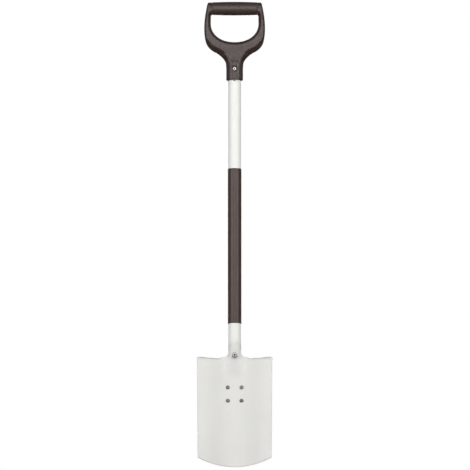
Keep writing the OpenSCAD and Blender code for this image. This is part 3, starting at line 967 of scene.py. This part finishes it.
def screw(name, head_r, head_h, core_r, length, recess, shade_ring_w, node):
    """A button-head screw with its seat at height 0, a ridged shank below and a recess on top.

    The recess is a form, a size and a depth. Painted shade darkens the recess, and a ring of the
    given width round the head's edge.
    """
    form, size, depth = recess
    shank = [(0, -length), (core_r * 0.45, -length), (core_r * 0.95, -length + 1.4)]
    for k in range(int((length - 2.6) / PITCH)):
        z = -length + 1.8 + PITCH * k
        shank += [(core_r, z), (core_r - RIDGE, z + PITCH / 2)]
    head = [(core_r, -0.5), (core_r, 0.02), (head_r - 0.25, 0.02), (head_r, 0.25), (head_r, 0.5)]
    rim = size * 1.32
    for turn in np.radians(np.linspace(10, 90, 9)):
        out = max(math.cos(turn), 0) ** 0.65
        head.append((rim + (head_r - rim) * out, 0.5 + (head_h - 0.5) * math.sin(turn) ** 0.65))
    well = [
        (size * 1.07, head_h - 0.01, form), (size, head_h - 0.16, form),
        (size * 0.96, head_h - depth, form), (0, head_h - depth - 0.3),
    ]
    points, faces = turned(shank + head + well, 120)
    low, high = node_box(node)
    mid = (low + high) / 2
    front = low[1]
    placed = facing_front(points, front + head_h, mid[2])
    piece = put_in(name, placed, outward(placed, faces), bright_steel, [node], sharp=35)
    # The recess and a ring round the head's edge take near-black steel: painted shade, not dirt
    piece.data.materials.append(shade_painted_steel)
    unpainted_from, unpainted_to = size * 0.98 * 1.16 * MM, (head_r - shade_ring_w) * MM
    recess_y = (front + 0.1) * MM
    for polygon in piece.data.polygons:
        off = math.hypot(polygon.center.x, polygon.center.z - mid[2] * MM)
        in_head = recess_y < polygon.center.y < (front + head_h) * MM
        if in_head and not unpainted_from < off < unpainted_to:
            polygon.material_index = 1


screw(
    "neck_button_screw", head_r=5.75, head_h=3.2, core_r=2.5, length=16.8,
    recess=(hexagon, 2.0, 1.9), shade_ring_w=0.85, node="neck_screw",
)
screw(
    "socket_screw", head_r=3.9, head_h=2.0, core_r=1.85, length=19.8,
    recess=(cross, 2.2, 1.3), shade_ring_w=0.0, node="handle_screw",
)


def dish_normal(x):
    """The direction in which the dish's back faces, at this distance from its middle."""
    across = x / DISH_R
    upright = np.array([[across, math.sqrt(1 - across**2), 0.0]])
    return blade_to_shaft(upright)[0]


def along_normal(points, place, normal):
    """Lays a solid made about +Z along the dish's normal, with its middle at the given place."""
    side = np.cross(normal, [0, 0, 1.0])
    side /= np.linalg.norm(side)
    return place + np.asarray(points) @ np.stack([side, np.cross(normal, side), normal])


def dome(r, h, base, way):
    """Profile of a domed rivet head from its edge to its flattened crown."""
    edge, flat = 0.35, 0.3
    rows = [(r - edge, base), (r, base + way * edge)]
    for turn in np.radians(np.linspace(12, 90, 8)):
        across = r * flat + r * (1 - flat) * math.cos(turn)
        rows.append((across, base + way * (edge + (h - edge) * math.sin(turn))))
    return rows


RIVET_R, HEAD_R, HEAD_H, TAIL_R, TAIL_H = 2.98, 4.5, 1.7, 4.5, 1.8
# How far the drawn heads stand out past the plain ones of the frame, at each end
HEAD_PROUD = 0.35
WASHER_HOLE_R, WASHER_R, WASHER_HALF_T = 3.05, 6, 0.5
for i in range(1, 5):
    rivet, washer = f"blade_rivet_{i}", f"rivet_washer_{i}"
    low, high = node_box(rivet)
    place = (low + high) / 2
    normal = dish_normal(place[0])
    reach = abs(normal) @ [0, 1, 0]
    spread_y = HEAD_R * math.sqrt(1 - reach**2)
    half = ((high - low)[1] / 2 - spread_y) / reach + HEAD_PROUD
    head = dome(HEAD_R, HEAD_H, -half + HEAD_H, -1)
    tail = dome(TAIL_R, TAIL_H, half - TAIL_H, 1)
    shank = [(RIVET_R, -half + HEAD_H), (RIVET_R, half - TAIL_H)]
    points, faces = turned([(0, -half)] + head[::-1] + shank + tail + [(0, half)], 48)
    placed = along_normal(points, place, normal)
    put_in(
        f"blade_fixing_{i}", placed, outward(placed, faces), grey_steel, [rivet], sharp=40
    )
    low_rim = [(WASHER_HOLE_R, -WASHER_HALF_T), (WASHER_R, -WASHER_HALF_T)]
    high_rim = [(WASHER_R, WASHER_HALF_T), (WASHER_HOLE_R, WASHER_HALF_T)]
    points, faces = turned(round_corners(low_rim + high_rim, [0.1, 0.25, 0.25, 0.1], 3), 64)
    placed = along_normal(points, node_middle(washer), normal)
    put_in(
        f"fixing_washer_{i}", placed, outward(placed, faces), grey_steel, [washer], sharp=40
    )

# The two pieces inside the tube keep their CAD shape
for node, material in (("neck_rivet_nut", grey_steel), ("tube_plug", plug_plastic)):
    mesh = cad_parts[node].data
    mesh.materials.clear()
    mesh.materials.append(material)


# ---------------------------------------------------------------- stage
def area_light(name, place, target, size, power):
    """A soft box, in metres and watts, that the camera doesn't see."""
    data = bpy.data.lights.new(name, "AREA")
    data.shape = "RECTANGLE"
    data.size, data.size_y = size
    data.energy = power
    light = bpy.data.objects.new(name, data)
    light.visible_camera = False
    light.location = place
    light.rotation_mode = "QUATERNION"
    light.rotation_quaternion = (Vector(target) - Vector(place)).to_track_quat("-Z", "Y")
    scene.collection.objects.link(light)


# The spade hangs a little above a pale floor
FLOOR_Z, FLOOR_HALF = -0.06, 6.0
floor_mesh = bpy.data.meshes.new("floor")
floor_mesh.from_pydata(
    [(FLOOR_HALF * x, FLOOR_HALF * y, FLOOR_Z) for x, y in ((-1, -1), (1, -1), (1, 1), (-1, 1))],
    [], [(0, 1, 2, 3)],
)
floor = bpy.data.objects.new("floor", floor_mesh)
scene.collection.objects.link(floor)
floor_paint, tree, shader = nodes_for("floor_paint")
pale = tint(tree, noise(tree, 3, 2.0), (0.90, 0.90, 0.90), (0.93, 0.93, 0.93))
tree.links.new(pale, shader.inputs["Emission Color"])
shader.inputs["Emission Strength"].default_value = 0.85
shader.inputs["Base Color"].default_value = (0.08, 0.08, 0.08, 1)
shader.inputs["Roughness"].default_value = 0.8
shader.inputs["Specular IOR Level"].default_value = 0.0
# Seen from below, the floor is clear and doesn't hide the spade
sides = tree.nodes.new("ShaderNodeNewGeometry")
clear = tree.nodes.new("ShaderNodeBsdfTransparent")
either = tree.nodes.new("ShaderNodeMixShader")
tree.links.new(sides.outputs["Backfacing"], either.inputs["Fac"])
tree.links.new(shader.outputs["BSDF"], either.inputs[1])
tree.links.new(clear.outputs["BSDF"], either.inputs[2])
tree.links.new(either.outputs["Shader"], tree.nodes["Material Output"].inputs["Surface"])
floor_mesh.materials.append(floor_paint)
floor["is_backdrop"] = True
floor.visible_diffuse = False
floor.visible_glossy = False

for name, x in (("soft_box_left", -1.75), ("soft_box_right", 1.75)):
    area_light(name, (x, -1.65, 1.0), (0, 0, 0.55), (0.6, 1.1), 15.5)
area_light("soft_front", (0, -2.3, 1.3), (0, 0, 0.6), (1.3, 1.8), 21.5)
area_light("soft_back", (0, 2.6, 0.75), (0, 0, 0.6), (1.8, 0.6), 18)

# The studio's walls: white to the eye, softer as a light, and dark where they would only glare.
# As a light they dim towards the ground and the zenith.
WALL_LIGHT, WALL_GLARE = 0.76, 0.1
GROUND_LIGHT, ZENITH_LIGHT = 0.2, 0.2


def product(tree, a, b):
    """One value times another."""
    node = tree.nodes.new("ShaderNodeMath")
    node.operation = "MULTIPLY"
    tree.links.new(a, node.inputs[0])
    tree.links.new(b, node.inputs[1])
    return node.outputs["Value"]


world = bpy.data.worlds.new("studio")
scene.world = world
world.use_nodes = True
tree = world.node_tree
background = tree.nodes["Background"]
path = tree.nodes.new("ShaderNodeLightPath")
wall = spread(tree, path.outputs["Is Glossy Ray"], WALL_LIGHT, WALL_GLARE, 0, 1)
direction = tree.nodes.new("ShaderNodeTexCoord")
parts = tree.nodes.new("ShaderNodeSeparateXYZ")
tree.links.new(direction.outputs["Generated"], parts.inputs["Vector"])
above_ground = spread(tree, parts.outputs["Z"], GROUND_LIGHT, 1, -0.25, 0.15)
below_zenith = spread(tree, parts.outputs["Z"], 1, ZENITH_LIGHT, 0.35, 0.9)
seen = tree.nodes.new("ShaderNodeMapRange")
seen.inputs["To Max"].default_value = 1.0
tree.links.new(path.outputs["Is Camera Ray"], seen.inputs["Value"])
tree.links.new(product(tree, wall, product(tree, above_ground, below_zenith)), seen.inputs["To Min"])
tree.links.new(seen.outputs["Result"], background.inputs["Strength"])
background.inputs["Color"].default_value = (1, 1, 1, 1)

scene.view_settings.view_transform = "Standard"

# ---------------------------------------------------------------- camera
# The camera looks up at the spade's middle, from a little right of it and above it
CAMERA_TILT = math.radians(-9.0)
CAMERA_SPAN = 1.0434
CAMERA_AWAY = 0.42
CAMERA_RIGHT, CAMERA_RISE = 0.0008, 0.0012
camera_data = bpy.data.cameras.new("camera")
camera_data.type = "ORTHO"
camera_data.ortho_scale = CAMERA_SPAN
camera_data.clip_start = 0.01
camera = bpy.data.objects.new("camera", camera_data)
back = Vector((0, -math.cos(CAMERA_TILT), math.sin(CAMERA_TILT)))
up = Vector((0, math.sin(CAMERA_TILT), math.cos(CAMERA_TILT)))
aim = Vector((CAMERA_RIGHT, SHAFT_Y * MM, ((cad_low + cad_high) / 2).z))
camera.location = aim + back * CAMERA_AWAY + up * CAMERA_RISE
camera.rotation_mode = "QUATERNION"
camera.rotation_quaternion = (-back).to_track_quat("-Z", "Y")
scene.collection.objects.link(camera)
scene.camera = camera

bpy.context.view_layer.update()
low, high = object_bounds()
